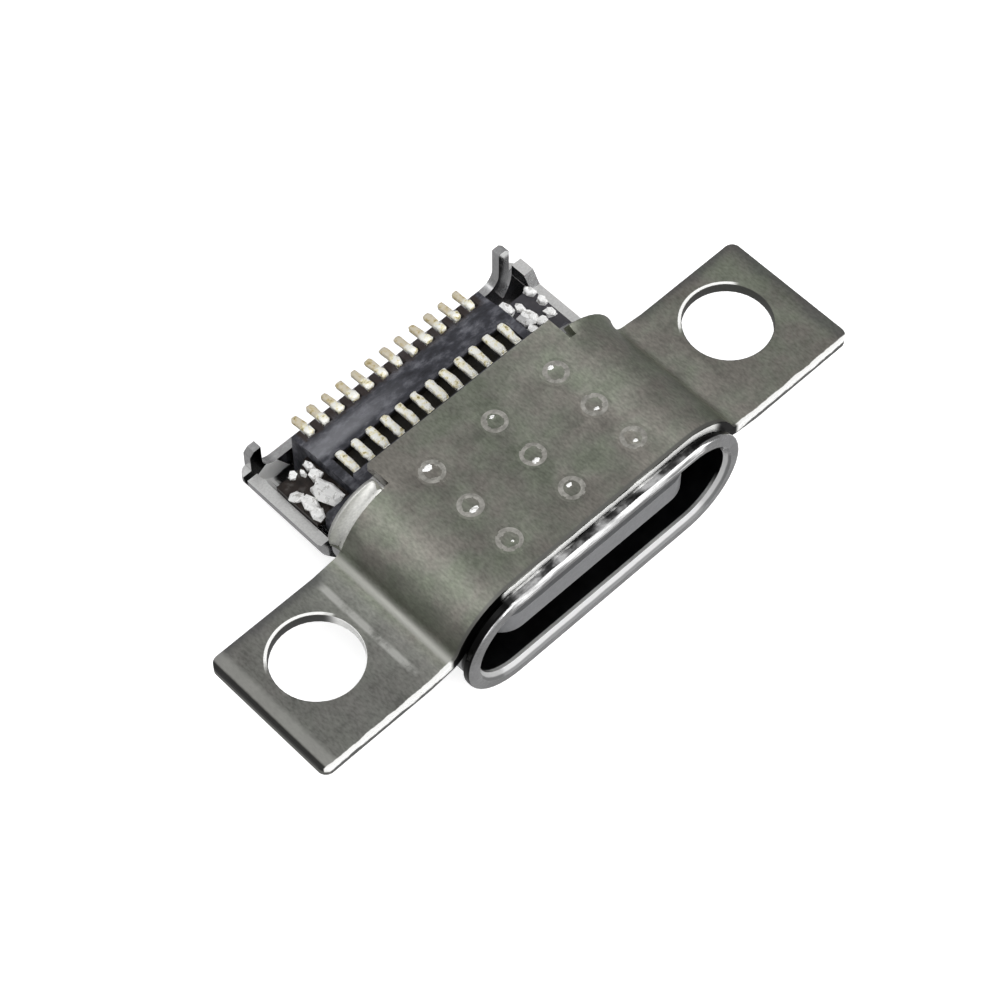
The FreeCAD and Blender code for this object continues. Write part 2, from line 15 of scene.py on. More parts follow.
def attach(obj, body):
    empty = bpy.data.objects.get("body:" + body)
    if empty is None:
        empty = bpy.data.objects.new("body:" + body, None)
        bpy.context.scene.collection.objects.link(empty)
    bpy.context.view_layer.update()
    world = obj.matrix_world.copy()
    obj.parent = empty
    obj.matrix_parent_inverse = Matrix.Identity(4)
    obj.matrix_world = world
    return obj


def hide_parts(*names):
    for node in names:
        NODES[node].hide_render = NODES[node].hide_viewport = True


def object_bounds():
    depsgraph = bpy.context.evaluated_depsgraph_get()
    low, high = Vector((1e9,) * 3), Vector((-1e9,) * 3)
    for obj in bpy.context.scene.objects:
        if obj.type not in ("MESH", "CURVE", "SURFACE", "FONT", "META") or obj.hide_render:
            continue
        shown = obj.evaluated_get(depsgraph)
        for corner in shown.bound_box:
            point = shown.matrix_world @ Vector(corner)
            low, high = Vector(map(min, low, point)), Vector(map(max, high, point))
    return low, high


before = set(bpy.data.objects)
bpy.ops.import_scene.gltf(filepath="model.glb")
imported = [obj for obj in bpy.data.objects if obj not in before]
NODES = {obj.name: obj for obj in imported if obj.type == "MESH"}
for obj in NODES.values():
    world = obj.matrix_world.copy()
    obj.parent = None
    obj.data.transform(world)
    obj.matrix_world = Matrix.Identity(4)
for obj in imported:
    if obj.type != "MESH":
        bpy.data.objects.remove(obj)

CAD_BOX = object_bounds()
MM = 0.001

# Camera, fitted to the photo: a 1000 by 1000 image and no shift
CAMERA_AT_MM = (-30.25, -27.54, 67.28)
CAMERA_AZIMUTH_DEG = -44.012
CAMERA_ELEVATION_DEG = 57.644
FOCAL_PIXELS = 3251.56
IMAGE_PIXELS = 1000
SENSOR_MM = 36.0
NEAREST_SEEN = 0.001
FURTHEST_SEEN = 10.0

# The room's brightness from left to right, as (share of the way, grey)
ROOM_FROM_LEFT = [(0.0, 0.2), (0.1, 0.36), (0.28, 0.56), (0.5, 0.5), (0.69, 0.46), (0.86, 0.30),
                  (1.0, 0.2)]

# Lamps: name, direction from the part, width, height and radiance
LAMPS = [
    ("left_box", (-0.43, 0.385, 0.82), 0.06, 0.16, 0.9),
    ("front_box", (0.38, -0.80, 0.50), 0.36, 0.24, 2.5),
    ("flare_box", (-0.72, -0.52, 0.46), 0.14, 0.14, 1.8),
    ("overhead_fill", (-0.15, -0.3, 0.95), 0.2, 0.2, 2.6),
]
LAMP_DISTANCE = 0.3
LAMP_TARGET = (0, 0.004, 0)

# The floor: half its width, its colour, and its brightness to the camera and in the metal
FLOOR_REACH = 1.5
FLOOR_COLOUR = (0.82, 0.82, 0.82, 1)
FLOOR_GLOW = 0.65
FLOOR_MIRRORED = 0.34
FLOOR_GAP_MM = 0.005
WHITE = (1, 1, 1, 1)

# Heights and places that the looks need
LUG_TOP_MM = 0.075
PLATE_TOP_MM = 1.91
SHOULDER_CENTRE_MM = 2.89
SHOULDER_REAR_MM = 4.44
EAR_TOP_MM = 0.43
EAR_STARTS_MM = (4.78, 4.92)
BRACKET_FRONT_MM = 0.36
WALL_TOP_MM = -0.08
HOLE_CENTRE_MM = (7.0, 2.745)
HOLE_RADIUS_MM = 1.175
MOUTH_RADIUS_MM = 1.29
MOUTH_DEPTHS_MM = (0.17, 5.3)
COMB_HALF_WIDTH_MM = 3.0
CONTACT_PITCH_MM = 0.5
CONTACTS_IN_ROW = 12

# Bend lines across the left ear, which get painted highlights
CREASE_X_MM = -5.6
FOLD_X_MM = -4.85

# Painted light and shade across the bracket, as (place across the part in millimetres, brightness factor)
TONE_REACH_MM = 9.0
BRACKET_PAINTED_LIGHT = [(-9.0, 0.79), (-6.3, 0.79), (-5.58, 0.88), (-5.13, 1.15), (-4.68, 1.12), (-4.23, 1.25),
                (-3.42, 0.95), (-2.7, 0.9), (0.0, 0.84), (3.06, 1.26), (4.32, 0.8), (4.86, 1.2),
                (5.76, 0.98), (6.66, 0.84), (9.0, 0.84)]

# How far a painted bright edge is from a mirror: this share of its metal is taken away
MATT_SHARE = 0.85

# Solder flakes on the lugs: x, y, length, width, height in millimetres and turn in radians
LEFT_FLAKES = [
    (-3.86, 7.10, 0.24, 0.26, 0.14, 0.4),
    (-3.64, 6.98, 0.24, 0.13, 0.14, 0.1),
    (-3.40, 7.00, 0.36, 0.20, 0.18, 0.2),
    (-3.46, 6.70, 0.36, 0.34, 0.18, 0.5),
    (-3.62, 6.14, 0.98, 0.66, 0.28, 0.15),
    (-4.22, 6.56, 0.40, 0.32, 0.18, 0.8),
    (-4.10, 6.18, 0.52, 0.42, 0.20, 0.1),
    (-4.18, 5.84, 0.46, 0.34, 0.18, 0.0),
]
RIGHT_FLAKES = [
    (4.20, 7.04, 0.42, 0.25, 0.18, 0.3),
    (4.24, 6.62, 0.38, 0.24, 0.18, 0.2),
    (4.14, 6.22, 0.40, 0.28, 0.16, 0.4),
    (3.40, 7.02, 0.50, 0.28, 0.18, 0.1),
    (3.68, 6.86, 0.34, 0.22, 0.13, 0.2),
    (3.60, 6.48, 0.56, 0.48, 0.24, 0.5),
    (3.82, 6.16, 0.34, 0.32, 0.18, 0.9),
    (3.44, 6.12, 0.36, 0.30, 0.16, 0.3),
]
FLAKE_SIDES = 6
FLAKE_LEVELS = ((0.0, 0.9), (0.45, 1.0), (0.85, 0.92), (1.0, 0.62))

# Tinned feet: where each starts, ends and how high it lies
NEAR_FOOT_MM = (5.93, 6.67, 0.49)
FAR_BEND_MM = (7.60, 7.80, 0.27)
FAR_FOOT_MM = (7.96, 8.33, 0.225)
FOOT_SIDES = 10
FOOT_SQUARENESS = 0.6

# Spot welds: the first row's y, the pitch in x and y, and the profile as (radius, height over the plate)
WELD_FIRST_MM = 1.30
WELD_PITCH_MM = (2.08, 1.328)
WELD_SECTORS = 36
WELD_ROOT_MM = (0.36, -0.05)
WELD_PROFILE_MM = [(0.415, 0.0006), (0.413, 0.0006), (0.37, 0.0006), (0.34, 0.001), (0.31, 0.002),
                   (0.285, 0.004), (0.26, 0.005), (0.235, 0.003), (0.21, -0.001), (0.18, -0.005),
                   (0.15, -0.008), (0.12, -0.010), (0.09, -0.010), (0.06, -0.010), (0.03, -0.010)]
WELD_RIM_MM = (0.21, 0.335)
WELD_SMOOTH_FROM_MM = 0.28
WELD_ROUGHNESS_MM = 0.010

# The frozen bead of each weld, painted white as a glint, front row first: x and y from the weld's middle,
# and size
WELD_BEAD_GLINTS_MM = [(0.02, -0.08, 0.03), (0.01, 0.11, 0.05), (-0.05, -0.10, 0.035),
                 (-0.02, -0.15, 0.075), (-0.09, -0.17, 0.06), (-0.04, -0.13, 0.045),
                 (-0.02, 0.14, 0.075), (0.02, 0.12, 0.045), (0.0, 0.17, 0.055)]
BEAD_HEIGHT_MM = 0.035
BEAD_STRETCH = 1.7

# The left shoulder's curled lip: its arc, rise, bend and length, and the steps of each
FLARE_SPAN_DEG = (20.0, 80.0)
FLARE_STEPS = 26
FLARE_RISE_MM = 0.34
FLARE_FULLNESS = 0.45
CURL_DEG = 78
CURL_LENGTH_MM = 0.30
CURL_STEPS = (0.0, 0.25, 0.5, 0.72, 0.9, 1.0)
CURL_INSIDE_MM = 0.06
CURL_SLANT_MM = 0.10


def new_material(name):
    """Return an empty node material, its node tree and its output node."""
    material = bpy.data.materials.new(name)
    material.use_nodes = True
    tree = material.node_tree
    tree.nodes.clear()
    output = tree.nodes.new("ShaderNodeOutputMaterial")
    return material, tree, output


def add(tree, kind, **inputs):
    """Add a node and set its sockets by name."""
    node = tree.nodes.new(kind)
    for key, value in inputs.items():
        node.inputs[key].default_value = value
    return node


def ramp(tree, factor, stops):
    """Return the colour output of a ramp with (place, colour) stops; a number makes a grey."""
    node = tree.nodes.new("ShaderNodeValToRGB")
    elements = node.color_ramp.elements
    while len(elements) < len(stops):
        elements.new(0.5)
    for element, (place, colour) in zip(elements, stops):
        element.position = place
        if isinstance(colour, (int, float)):
            colour = (colour, colour, colour)
        element.color = (*colour, 1)
    tree.links.new(factor, node.inputs["Fac"])
    return node.outputs["Color"]


def noise_at(tree, size_mm, detail=3.0, roughness=0.5, stretch=(1, 1, 1), offset=(0, 0, 0)):
    """Return the output of a noise whose features are about size_mm across."""
    place = tree.nodes.new("ShaderNodeTexCoord")
    scale = [1 / (size_mm * MM * part) for part in stretch]
    mapping = add(tree, "ShaderNodeMapping", Scale=scale, Location=offset)
    tree.links.new(place.outputs["Object"], mapping.inputs["Vector"])
    texture = add(tree, "ShaderNodeTexNoise", Scale=1.0, Detail=detail, Roughness=roughness)
    tree.links.new(mapping.outputs["Vector"], texture.inputs["Vector"])
    return texture.outputs["Fac"]


def mix_colours(tree, factor, first, second, blend="MIX"):
    """Return a mix of two colours, each a socket or three numbers."""
    node = tree.nodes.new("ShaderNodeMix")
    node.data_type = "RGBA"
    node.blend_type = blend
    ends = ((node.inputs["Factor"], factor), (node.inputs[6], first), (node.inputs[7], second))
    for socket, value in ends:
        if isinstance(value, (int, float)):
            socket.default_value = value
        elif isinstance(value, tuple):
            socket.default_value = (*value, 1)
        else:
            tree.links.new(value, socket)
    return node.outputs[2]


def bump(tree, height, depth_mm):
    """Return a bumped normal from a height that stands for depth_mm."""
    node = add(tree, "ShaderNodeBump", Strength=1.0, Distance=depth_mm * MM)
    tree.links.new(height, node.inputs["Height"])
    return node.outputs["Normal"]


def place_mm(tree):
    """Return the x, y and z sockets of a point in the part's frame, in millimetres."""
    place = tree.nodes.new("ShaderNodeTexCoord")
    scale = tree.nodes.new("ShaderNodeVectorMath")
    scale.operation = "SCALE"
    scale.inputs["Scale"].default_value = 1 / MM
    tree.links.new(place.outputs["Object"], scale.inputs[0])
    parts = tree.nodes.new("ShaderNodeSeparateXYZ")
    tree.links.new(scale.outputs["Vector"], parts.inputs[0])
    return parts.outputs[0], parts.outputs[1], parts.outputs[2]


def math_node(tree, operation, first, second=None):
    """Return the result of one sum on sockets or numbers."""
    node = tree.nodes.new("ShaderNodeMath")
    node.operation = operation
    for socket, value in zip(node.inputs, (first, second)):
        if value is None:
            continue
        if isinstance(value, (int, float)):
            socket.default_value = value
        else:
            tree.links.new(value, socket)
    return node.outputs[0]


def rise(tree, value, start, end):
    """Return a smooth step from 0 at start to 1 at end."""
    node = tree.nodes.new("ShaderNodeMapRange")
    node.interpolation_type = "SMOOTHSTEP"
    node.inputs["From Min"].default_value = start
    node.inputs["From Max"].default_value = end
    tree.links.new(value, node.inputs["Value"])
    return node.outputs["Result"]


def product(tree, *factors):
    """Return the product of several sockets."""
    result = factors[0]
    for factor in factors[1:]:
        result = math_node(tree, "MULTIPLY", result, factor)
    return result


def largest(tree, *values):
    """Return the largest of several sockets."""
    result = values[0]
    for value in values[1:]:
        result = math_node(tree, "MAXIMUM", result, value)
    return result


def away_from(tree, value, line):
    """Return the distance of a value from a line."""
    return math_node(tree, "ABSOLUTE", math_node(tree, "SUBTRACT", value, line))


def hypotenuse(tree, first, second):
    """Return the length of the vector with these two parts."""
    squares = [math_node(tree, "MULTIPLY", part, part) for part in (first, second)]
    return math_node(tree, "SQRT", math_node(tree, "ADD", *squares))


def waved(tree, value, wave, size_mm):
    """Return a place shifted to and fro by a noise, so that a border on it runs unevenly."""
    shift = math_node(tree, "MULTIPLY", math_node(tree, "SUBTRACT", wave, 0.5), size_mm)
    return math_node(tree, "ADD", value, shift)


def painted(tree, colour, mask, paint, strength=1.0, blend="MIX"):
    """Return the colour with a paint over it where the mask is 1, at most as strong as strength."""
    if strength != 1.0:
        mask = math_node(tree, "MULTIPLY", mask, strength)
    return mix_colours(tree, mask, colour, paint, blend)


def less_metal(tree, mask):
    """Return a metallic value of 1 that drops where the mask is 1."""
    return math_node(tree, "SUBTRACT", 1.0, math_node(tree, "MULTIPLY", mask, MATT_SHARE))


def shoulder_reach(tree, sideways, z):
    """Return the distance in millimetres from the line that the plate, shoulders and lip bend round."""
    past_centre = math_node(tree, "SUBTRACT", sideways, SHOULDER_CENTRE_MM)
    return hypotenuse(tree, math_node(tree, "MAXIMUM", past_centre, 0.0), z)


def finish_shader(tree, output, colour, roughness, normal, metallic):
    """Wire a principled shader; metallic is a number or a socket."""
    shader = tree.nodes.new("ShaderNodeBsdfPrincipled")
    if isinstance(metallic, (int, float)):
        shader.inputs["Metallic"].default_value = metallic
    else:
        tree.links.new(metallic, shader.inputs["Metallic"])
    tree.links.new(colour, shader.inputs["Base Color"])
    tree.links.new(roughness, shader.inputs["Roughness"])
    tree.links.new(normal, shader.inputs["Normal"])
    tree.links.new(shader.outputs["BSDF"], output.inputs["Surface"])


def satin_metal(name, dark, light, rough, patch_mm=0.9, grain_mm=0.05, grain_depth_mm=0.0012):
    """Return a rolled sheet metal: soft patches of two tones and a fine grain drawn out along x."""
    material, tree, output = new_material(name)
    patches = noise_at(tree, patch_mm, 4.0, 0.6)
    grain = noise_at(tree, grain_mm, 2.0, 0.5, stretch=(1.8, 1, 1))
    colour = ramp(tree, patches, [(0.3, dark), (0.72, light)])
    speckle = ramp(tree, grain, [(0.25, 0.8), (0.75, 1.15)])
    colour = mix_colours(tree, 0.75, colour, speckle, "MULTIPLY")
    roughness = ramp(tree, patches, [(0.25, rough - 0.06), (0.75, rough + 0.06)])
    finish_shader(tree, output, colour, roughness, bump(tree, grain, grain_depth_mm), 1.0)
    return material


def bracket_tone(tree, x, stain, grain):
    """Return the sheet colour: brown to green casts, stains, grain, and painted light and shade across
    the part.
    """
    cast = noise_at(tree, 1.3, 3.0, 0.6)
    colour = ramp(tree, cast, [(0.38, (0.405, 0.385, 0.345)), (0.5, (0.395, 0.402, 0.345)),
                               (0.62, (0.38, 0.41, 0.33))])
    shade = ramp(tree, stain, [(0.28, 0.72), (0.5, 1.0), (0.75, 1.2)])
    colour = mix_colours(tree, 0.75, colour, shade, "MULTIPLY")
    speckle = ramp(tree, grain, [(0.3, 0.76), (0.7, 1.2)])
    colour = mix_colours(tree, 0.8, colour, speckle, "MULTIPLY")
    # Painted light and shade: the sheet is made lighter or darker across the part, as the light falls
    width = 2 * TONE_REACH_MM
    across = math_node(tree, "MULTIPLY", math_node(tree, "ADD", x, TONE_REACH_MM), 1 / width)
    stops = [((place + TONE_REACH_MM) / width, factor) for place, factor in BRACKET_PAINTED_LIGHT]
    return mix_colours(tree, 1.0, colour, ramp(tree, across, stops), "MULTIPLY")


def bracket_colour(tree, x, y, z, stain, grain):
    """Return the bracket's colour: the sheet, painted highlights, painted shade and darker margins."""
    colour = bracket_tone(tree, x, stain, grain)
    left_ear = rise(tree, x, -4.9, -5.3)
    colour = painted(tree, colour, left_ear, (0.4, 0.4, 0.38), 0.7, "COLOR")
    sideways = math_node(tree, "ABSOLUTE", x)
    # Painted highlights along the left ear's two bend lines
    crease = product(tree, rise(tree, away_from(tree, x, CREASE_X_MM), 0.13, 0.05),
                     rise(tree, y, 0.7, 0.95), rise(tree, y, 4.3, 4.0), rise(tree, stain, 0.3, 0.55))
    colour = painted(tree, colour, crease, (0.80, 0.80, 0.76), 0.85)
    fold = product(tree, rise(tree, away_from(tree, x, FOLD_X_MM), 0.16, 0.05), rise(tree, z, 0.9, 0.7))
    colour = painted(tree, colour, fold, (0.78, 0.78, 0.73), 0.8)
    # Painted shade in a band at the foot of both shoulders, and along the left one
    shoulder_foot_shade = product(tree, rise(tree, sideways, 4.55, 4.72), rise(tree, sideways, 5.05, 4.85),
                                rise(tree, z, 0.62, 0.8))
    colour = painted(tree, colour, shoulder_foot_shade, (0.14, 0.14, 0.12), 0.6)
    left_foot_shade = product(tree, rise(tree, waved(tree, x, stain, 0.2), -4.2, -4.45),
                        rise(tree, x, -5.0, -4.85), rise(tree, z, 0.5, 0.6))
    colour = painted(tree, colour, left_foot_shade, (0.16, 0.16, 0.14), 0.42)
    # Darker along the ears' rear edges and at the right end
    rear_margin = product(tree, rise(tree, waved(tree, y, stain, 0.8), 4.1, 4.42),
                          rise(tree, sideways, 5.0, 5.6))
    right_margin = rise(tree, waved(tree, x, stain, 0.8), 8.45, 8.85)
    colour = painted(tree, colour, largest(tree, rear_margin, right_margin), (0.12, 0.12, 0.13), 0.55)
    # Painted highlight near the left ear's end, and painted shade on its end face
    left_end_highlight = product(tree, rise(tree, x, -8.4, -8.6), rise(tree, x, -8.82, -8.76))
    colour = painted(tree, colour, left_end_highlight, (0.72, 0.72, 0.68), 0.5)
    left_tip_shade = product(tree, rise(tree, x, -8.79, -8.84), rise(tree, z, 0.24, 0.34))
    return painted(tree, colour, left_tip_shade, (0.04, 0.04, 0.04), 0.9)


def bracket_front(tree, x, y, z, wave, colour):
    """Return the colour with the front edge's painted shade, and the mask of its two painted highlight
    lines.
    """
    sideways = math_node(tree, "ABSOLUTE", x)
    on_ear = rise(tree, sideways, *EAR_STARTS_MM)
    off_ear = rise(tree, sideways, *reversed(EAR_STARTS_MM))
    below_top = math_node(tree, "SUBTRACT", PLATE_TOP_MM, shoulder_reach(tree, sideways, z))
    below_ear = math_node(tree, "SUBTRACT", EAR_TOP_MM, z)
    front_face = rise(tree, y, BRACKET_FRONT_MM + 0.012, BRACKET_FRONT_MM + 0.006)
    near_front = rise(tree, y, BRACKET_FRONT_MM + 0.035, BRACKET_FRONT_MM + 0.025)
    rounding = rise(tree, y, BRACKET_FRONT_MM + 0.12, BRACKET_FRONT_MM + 0.07)
    # Painted shade on the plate's rounded front edge
    colour = painted(tree, colour, product(tree, rounding, off_ear), (0.27, 0.27, 0.25))
    # Painted black shade on the front faces at the shoulders' ends
    ends = largest(tree, rise(tree, x, -3.0, -3.25), rise(tree, x, 3.9, 4.2))
    colour = painted(tree, colour, product(tree, ends, off_ear, front_face), (0.012, 0.012, 0.012))
    # Painted shade on the ears' front faces
    colour = painted(tree, colour, product(tree, on_ear, front_face), (0.30, 0.30, 0.29))
    # Painted highlight lines along the plate's and the ears' front edges
    plate_highlight = product(tree, rise(tree, waved(tree, below_top, wave, 0.12), 0.05, 0.07), near_front,
                         rise(tree, x, -3.3, -3.1), rise(tree, x, 4.25, 3.9))
    ear_highlight = product(tree, rise(tree, waved(tree, below_ear, wave, 0.22), 0.17, 0.13), on_ear,
                       rise(tree, waved(tree, y, wave, 0.10), BRACKET_FRONT_MM + 0.10,
                            BRACKET_FRONT_MM + 0.075))
    return colour, largest(tree, plate_highlight, ear_highlight)


def bracket_holes(tree, x, y, z, wave, colour):
    """Return the colour with painted shade in the holes, and the mask of their painted rim highlights and
    glare.
    """
    across = math_node(tree, "SUBTRACT", math_node(tree, "ABSOLUTE", x), HOLE_CENTRE_MM[0])
    along = math_node(tree, "SUBTRACT", y, HOLE_CENTRE_MM[1])
    reach = hypotenuse(tree, across, along)
    in_hole = rise(tree, reach, HOLE_RADIUS_MM + 0.02, HOLE_RADIUS_MM + 0.005)
    # Painted shade on the holes' walls
    colour = painted(tree, colour, in_hole, (0.10, 0.10, 0.10), 0.8)
    # Painted highlight on one side of each hole's rim, and painted glare in the left holes
    rim = product(tree, rise(tree, reach, HOLE_RADIUS_MM + 0.10, HOLE_RADIUS_MM + 0.085),
                  rise(tree, reach, HOLE_RADIUS_MM + 0.006, HOLE_RADIUS_MM + 0.02),
                  rise(tree, waved(tree, along, wave, 0.5), 0.55, 0.85), rise(tree, z, 0.28, 0.33))
    from_centre = math_node(tree, "ADD", x, HOLE_CENTRE_MM[0])
    rightward = math_node(tree, "SUBTRACT", from_centre, along)
    left_glare = product(tree, in_hole, rise(tree, x, -4.0, -5.0), rise(tree, rightward, 0.1, 0.7))
    return colour, largest(tree, rim, left_glare)


def bracket_metal():
    """Return the bracket's satin grey steel with painted highlights along its uneven front edges and in
    the holes.
    """
    material, tree, output = new_material("bracket_satin_steel")
    x, y, z = place_mm(tree)
    stain = noise_at(tree, 0.7, 5.0, 0.65, offset=(7, 3, 1))
    grain = noise_at(tree, 0.06, 2.0, 0.5, stretch=(1, 2.2, 1))
    wave = noise_at(tree, 0.45, 3.0, 0.55, offset=(2, 9, 4))
    colour = bracket_colour(tree, x, y, z, stain, grain)
    colour, front_highlights = bracket_front(tree, x, y, z, wave, colour)
    colour, hole_highlights = bracket_holes(tree, x, y, z, wave, colour)
    # Painted highlights: these lines are painted near white and made less metal
    bright = largest(tree, front_highlights, hole_highlights)
    colour = painted(tree, colour, bright, (0.95, 0.95, 0.93))
    roughness = ramp(tree, stain, [(0.25, 0.36), (0.75, 0.46)])
    finish_shader(tree, output, colour, roughness, bump(tree, grain, 0.0012), less_metal(tree, bright))
    return material


def shell_metal():
    """Return the shell's bright steel: painted crumpled reflections on the lip's top, painted black shade
    at its sides.
    """
    material, tree, output = new_material("shell_bright_steel")
    x, y, z = place_mm(tree)
    patches = noise_at(tree, 0.9, 4.0, 0.6)
    grain = noise_at(tree, 0.05, 2.0, 0.5, stretch=(1.8, 1, 1))
    wave = noise_at(tree, 0.45, 3.0, 0.55, stretch=(1.5, 1, 1), offset=(4, 1, 6))
    colour = ramp(tree, patches, [(0.3, (0.52, 0.52, 0.52)), (0.72, (0.74, 0.74, 0.75))])
    speckle = ramp(tree, grain, [(0.25, 0.85), (0.75, 1.12)])
    colour = mix_colours(tree, 0.75, colour, speckle, "MULTIPLY")
    sideways = math_node(tree, "ABSOLUTE", x)
    reach = shoulder_reach(tree, sideways, z)
    in_lip = rise(tree, y, 0.5, 0.4)
    upper = product(tree, rise(tree, z, 0.9, 1.3), rise(tree, sideways, 3.35, 3.1))
    # The lip's top, with painted crumpled reflections
    top = product(tree, upper, rise(tree, y, 0.07, 0.08), in_lip)
    crumpled = ramp(tree, wave, [(0.40, 0.02), (0.49, 0.12), (0.56, 0.45), (0.66, 1.0)])
    colour = painted(tree, colour, top, crumpled)
    # Painted black shade in the gap under the right shoulder and along the lip's left side
    right_gap_shade = product(tree, rise(tree, x, 2.95, 3.15), rise(tree, y, 0.112, 0.128), in_lip,
                        rise(tree, z, 0.9, 1.3))
    left_side_shade = product(tree, rise(tree, x, -2.9, -3.3), rise(tree, y, 0.055, 0.075), in_lip,
                        rise(tree, z, -1.5, -1.1), rise(tree, reach, 1.5, 1.55))
    colour = painted(tree, colour, largest(tree, right_gap_shade, left_side_shade), (0.015, 0.015, 0.015))
    # The upper lead-in cone, painted dull: painted shade at its front edge and painted light further in
    cone = product(tree, rise(tree, reach, 1.425, 1.41), rise(tree, waved(tree, z, wave, 0.3), 0.5, 0.1),
                   rise(tree, y, 0.175, 0.168))
    deep = rise(tree, waved(tree, y, wave, 0.03), 0.045, 0.085)
    cone_light_and_shade = mix_colours(tree, deep, (0.15, 0.15, 0.151), (0.48, 0.48, 0.48))
    colour = painted(tree, colour, cone, cone_light_and_shade)
    # Painted black shade on the left leg's front faces
    place = tree.nodes.new("ShaderNodeTexCoord")
    facing = tree.nodes.new("ShaderNodeSeparateXYZ")
    tree.links.new(place.outputs["Normal"], facing.inputs[0])
    leg = product(tree, rise(tree, x, -3.5, -3.7), rise(tree, y, 7.75, 7.9), rise(tree, z, -0.6, -0.4),
                  rise(tree, facing.outputs[1], -0.3, -0.6))
    colour = painted(tree, colour, leg, (0.012, 0.012, 0.012))
    # The lip's front band, painted in streaks of reflected light and shade
    band = product(tree, upper, rise(tree, waved(tree, y, wave, 0.06), 0.085, 0.075),
                   rise(tree, waved(tree, reach, wave, 0.2), 1.51, 1.54))
    streaks = noise_at(tree, 0.3, 3.0, 0.6, stretch=(5, 1, 0.5), offset=(1, 5, 2))
    colour = painted(tree, colour, band, ramp(tree, streaks, [(0.38, 0.22), (0.47, 0.5), (0.56, 0.9)]))
    roughness = ramp(tree, patches, [(0.25, 0.17), (0.75, 0.26)])
    metallic = less_metal(tree, largest(tree, band, cone))
    finish_shader(tree, output, colour, roughness, bump(tree, grain, 0.0012), metallic)
    return material


def mouth_metal():
    """Return the mouth's inside in painted black shade, with painted light just behind the lip's lower
    edge.
    """
    material, tree, output = new_material("shell_inside_painted_shade")
    _, y, z = place_mm(tree)
    patches = noise_at(tree, 0.6, 3.0, 0.6)
    # Painted shade: the mouth's inside is painted near black
    colour = ramp(tree, patches, [(0.3, (0.005, 0.005, 0.006)), (0.7, (0.012, 0.012, 0.013))])
    # Painted light just behind the lip's lower edge
    lit = product(tree, rise(tree, y, 0.26, 0.23), rise(tree, z, -0.5, -1.0))
    colour = painted(tree, colour, lit, (0.9, 0.9, 0.9))
    roughness = ramp(tree, patches, [(0.3, 0.45), (0.7, 0.6)])
    finish_shader(tree, output, colour, roughness, bump(tree, patches, 0.002), 1.0)
    return material


def cut_edge_metal():
    """Return the bare metal of a sheared edge, painted pale as a painted highlight, with fine lines
    across the sheet.
    """
    material, tree, output = new_material("sheared_edge_painted_highlight")
    lines = noise_at(tree, 0.05, 3.0, 0.6, stretch=(1, 1, 6))
    colour = ramp(tree, lines, [(0.3, (0.78, 0.78, 0.77)), (0.7, (0.95, 0.95, 0.94))])
    roughness = ramp(tree, lines, [(0.3, 0.38), (0.7, 0.5)])
    finish_shader(tree, output, colour, roughness, bump(tree, lines, 0.002), 0.8)
    return material


def housing_plastic():
    """Return the moulding's blue-black plastic: flow streaks, dust, a tongue in painted light, a painted
    highlight and painted shade.
    """
    material, tree, output = new_material("housing_plastic")
    x, y, z = place_mm(tree)
    streaks = noise_at(tree, 0.4, 5.0, 0.68, stretch=(1.6, 0.8, 1))
    dust = noise_at(tree, 0.12, 4.0, 0.65)
    colour = ramp(tree, streaks, [(0.3, (0.010, 0.010, 0.014)), (0.48, (0.036, 0.037, 0.047)),
                                  (0.66, (0.14, 0.142, 0.162))])
    tone = ramp(tree, dust, [(0.3, 0.7), (0.75, 1.4)])
    colour = mix_colours(tree, 0.7, colour, tone, "MULTIPLY")
    # Painted light on the tongue's front part
    tongue = rise(tree, y, 1.3, 0.9)
    colour = painted(tree, colour, tongue, (0.19, 0.192, 0.197), 0.9)
    # Painted highlight along a ridge on the left
    ridge = product(tree, rise(tree, z, 0.30, 0.42), rise(tree, y, 6.75, 6.95), rise(tree, x, 0.5, -2.5))
    colour = painted(tree, colour, ridge, (0.34, 0.345, 0.37), 0.45)
    in_comb = rise(tree, math_node(tree, "ABSOLUTE", x), COMB_HALF_WIDTH_MM + 0.1, COMB_HALF_WIDTH_MM)
    # Painted shade in the trench under the near feet
    trench = product(tree, rise(tree, y, 5.5, 5.7), rise(tree, y, 6.68, 6.66), rise(tree, z, 0.36, 0.3),
                     in_comb)
    colour = painted(tree, colour, trench, (0.012, 0.010, 0.005), 0.92)
    # Painted shade in front of the far feet
    far_feet_shade = product(tree, rise(tree, waved(tree, y, dust, 0.5), 7.42, 7.62), in_comb)
    colour = painted(tree, colour, far_feet_shade, (0.022, 0.012, 0.008), 0.85)
    roughness = ramp(tree, dust, [(0.3, 0.38), (0.7, 0.58)])
    finish_shader(tree, output, colour, roughness, bump(tree, dust, 0.006), 0.0)
    return material


def contact_metal():
    """Return the contacts' pale gold plating, with brown stains and a darker tip on the far row."""
    material, tree, output = new_material("contact_gold")
    stain = noise_at(tree, 0.13, 4.0, 0.6)
    fine = noise_at(tree, 0.06, 3.0, 0.5)
    colour = ramp(tree, stain, [(0.31, (0.36, 0.30, 0.12)), (0.41, (0.92, 0.85, 0.58)),
                                (0.52, (1.0, 1.0, 0.94))])
    _, y, _ = place_mm(tree)
    tip = rise(tree, waved(tree, y, stain, 0.15), 7.88, 7.98)
    colour = painted(tree, colour, tip, (0.66, 0.60, 0.50), blend="MULTIPLY")
    roughness = ramp(tree, fine, [(0.3, 0.25), (0.7, 0.45)])
    finish_shader(tree, output, colour, roughness, bump(tree, fine, 0.012), 0.1)
    return material


